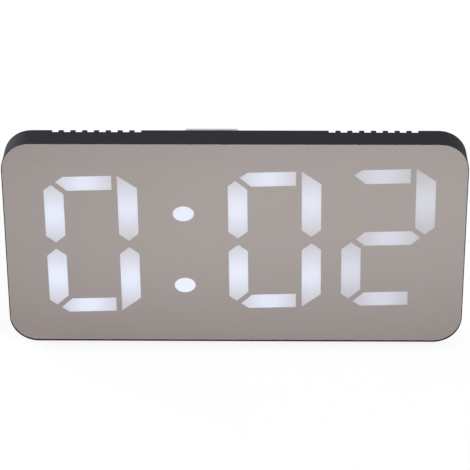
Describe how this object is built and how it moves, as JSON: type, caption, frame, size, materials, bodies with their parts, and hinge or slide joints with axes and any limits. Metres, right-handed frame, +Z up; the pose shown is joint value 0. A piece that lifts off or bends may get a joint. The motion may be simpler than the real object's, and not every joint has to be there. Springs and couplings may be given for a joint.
{
  "type": "digital led desk clock",
  "caption": "Leaning rectangular mirror-faced desk clock with large white segment digits, a rear battery hump, vent slots, push buttons and a snooze key.",
  "frame": {"origin": "middle of the footprint, on the surface the clock stands on", "axes": "+X to the right as seen from the front, -Y towards the viewer, +Z up"},
  "size_m": [0.165, 0.0332, 0.0818],
  "materials": {
    "half_mirror": "half-silvered, polished",
    "tape": "adhesive tape",
    "case_plastic": "fine moulded grain, charcoal",
    "black_film": "printed film",
    "reflector_plastic": "white inside, satin",
    "lit_lens": "milky, lit from behind",
    "dark_lens": "smoked, unlit",
    "circuit_board": "solder mask, satin",
    "led_body": "phosphor under clear resin",
    "chip_plastic": "moulded epoxy",
    "chip_ceramic": "glazed chip",
    "bright_metal": "plated can",
    "capacitor_sleeve": "shrink sleeve",
    "sensor_bead": "dipped resin",
    "switch_plastic": "moulded",
    "plunger_plastic": "moulded",
    "button_plastic": "satin, charcoal",
    "key_plastic": "satin, pale grey",
    "spring_metal": "nickel plated spring plate",
    "cell_sleeve": "printed sleeve, plain",
    "socket_plastic": "moulded",
    "nut_metal": "nickel plated brass",
    "sounder_plastic": "moulded",
    "ribbon_plastic": "flat cable insulation",
    "lead_plastic": "wire insulation",
    "screw_steel": "blackened",
    "foot_rubber": "soft, matte"
  },
  "bodies": {
    "clock": {"alarm_sounder": "sounder_plastic", "battery_cell_1": "cell_sleeve", "battery_cell_2": "cell_sleeve", "battery_cell_3": "cell_sleeve", "battery_contacts": "spring_metal", "battery_leads": "lead_plastic", "battery_tray": "case_plastic", "board_screws": "screw_steel", "button_switches": "switch_plastic", "case_screws": "screw_steel", "chip_resistors": "chip_ceramic", "clock_chip": "chip_plastic", "colon_lenses": "lit_lens", "driver_transistors": "chip_plastic", "front_feet": "foot_rubber", "front_frame": "case_plastic", "hour_digit_lenses": "lit_lens", "led_board": "circuit_board", "led_driver_chip": "chip_plastic", "main_board": "circuit_board", "minute_digit_lenses": "lit_lens", "mirror_panel": "half_mirror", "panel_tape": "tape", "power_socket": "socket_plastic", "quartz_crystal": "bright_metal", "rear_feet": "foot_rubber", "rear_shell": "case_plastic", "reflector_frame": "reflector_plastic", "ribbon_cable": "ribbon_plastic", "segment_film": "black_film", "segment_leds": "led_body", "smoothing_capacitor": "capacitor_sleeve", "snooze_board": "circuit_board", "snooze_switch": "switch_plastic", "socket_leads": "lead_plastic", "socket_nut": "nut_metal", "sounder_leads": "lead_plastic", "temperature_sensor": "sensor_bead", "ten_minute_digit_lenses": "lit_lens", "unlit_segment_lenses": "dark_lens"},
    "battery_door": {"battery_door": "case_plastic"},
    "snooze_key": {"snooze_key": "key_plastic", "snooze_plunger": "plunger_plastic"},
    "set_button": {"set_button": "button_plastic", "set_plunger": "plunger_plastic"},
    "mode_button": {"mode_button": "button_plastic", "mode_plunger": "plunger_plastic"},
    "up_button": {"up_button": "button_plastic", "up_plunger": "plunger_plastic"},
    "down_button": {"down_button": "button_plastic", "down_plunger": "plunger_plastic"}
  },
  "joints": [
    {"name": "set_button_press", "type": "slide", "parent": "clock", "child": "set_button", "axis": [0, -0.9994, -0.0347], "range_m": [0, 0.0005], "stiffness_N_per_m": 300, "springref_m": -0.0005},
    {"name": "mode_button_press", "type": "slide", "parent": "clock", "child": "mode_button", "axis": [0, -0.9994, -0.0347], "range_m": [0, 0.0005], "stiffness_N_per_m": 300, "springref_m": -0.0005},
    {"name": "up_button_press", "type": "slide", "parent": "clock", "child": "up_button", "axis": [0, -0.9994, -0.0347], "range_m": [0, 0.0005], "stiffness_N_per_m": 300, "springref_m": -0.0005},
    {"name": "down_button_press", "type": "slide", "parent": "clock", "child": "down_button", "axis": [0, -0.9994, -0.0347], "range_m": [0, 0.0005], "stiffness_N_per_m": 300, "springref_m": -0.0005},
    {"name": "snooze_key_press", "type": "slide", "parent": "clock", "child": "snooze_key", "axis": [0, -0.1392, -0.9903], "range_m": [0, 0.0008], "stiffness_N_per_m": 300, "springref_m": -0.0008},
    {"name": "battery_door_slide", "type": "slide", "parent": "clock", "child": "battery_door", "axis": [-1, 0, 0], "range_m": [0, 0.058]}
  ]
}
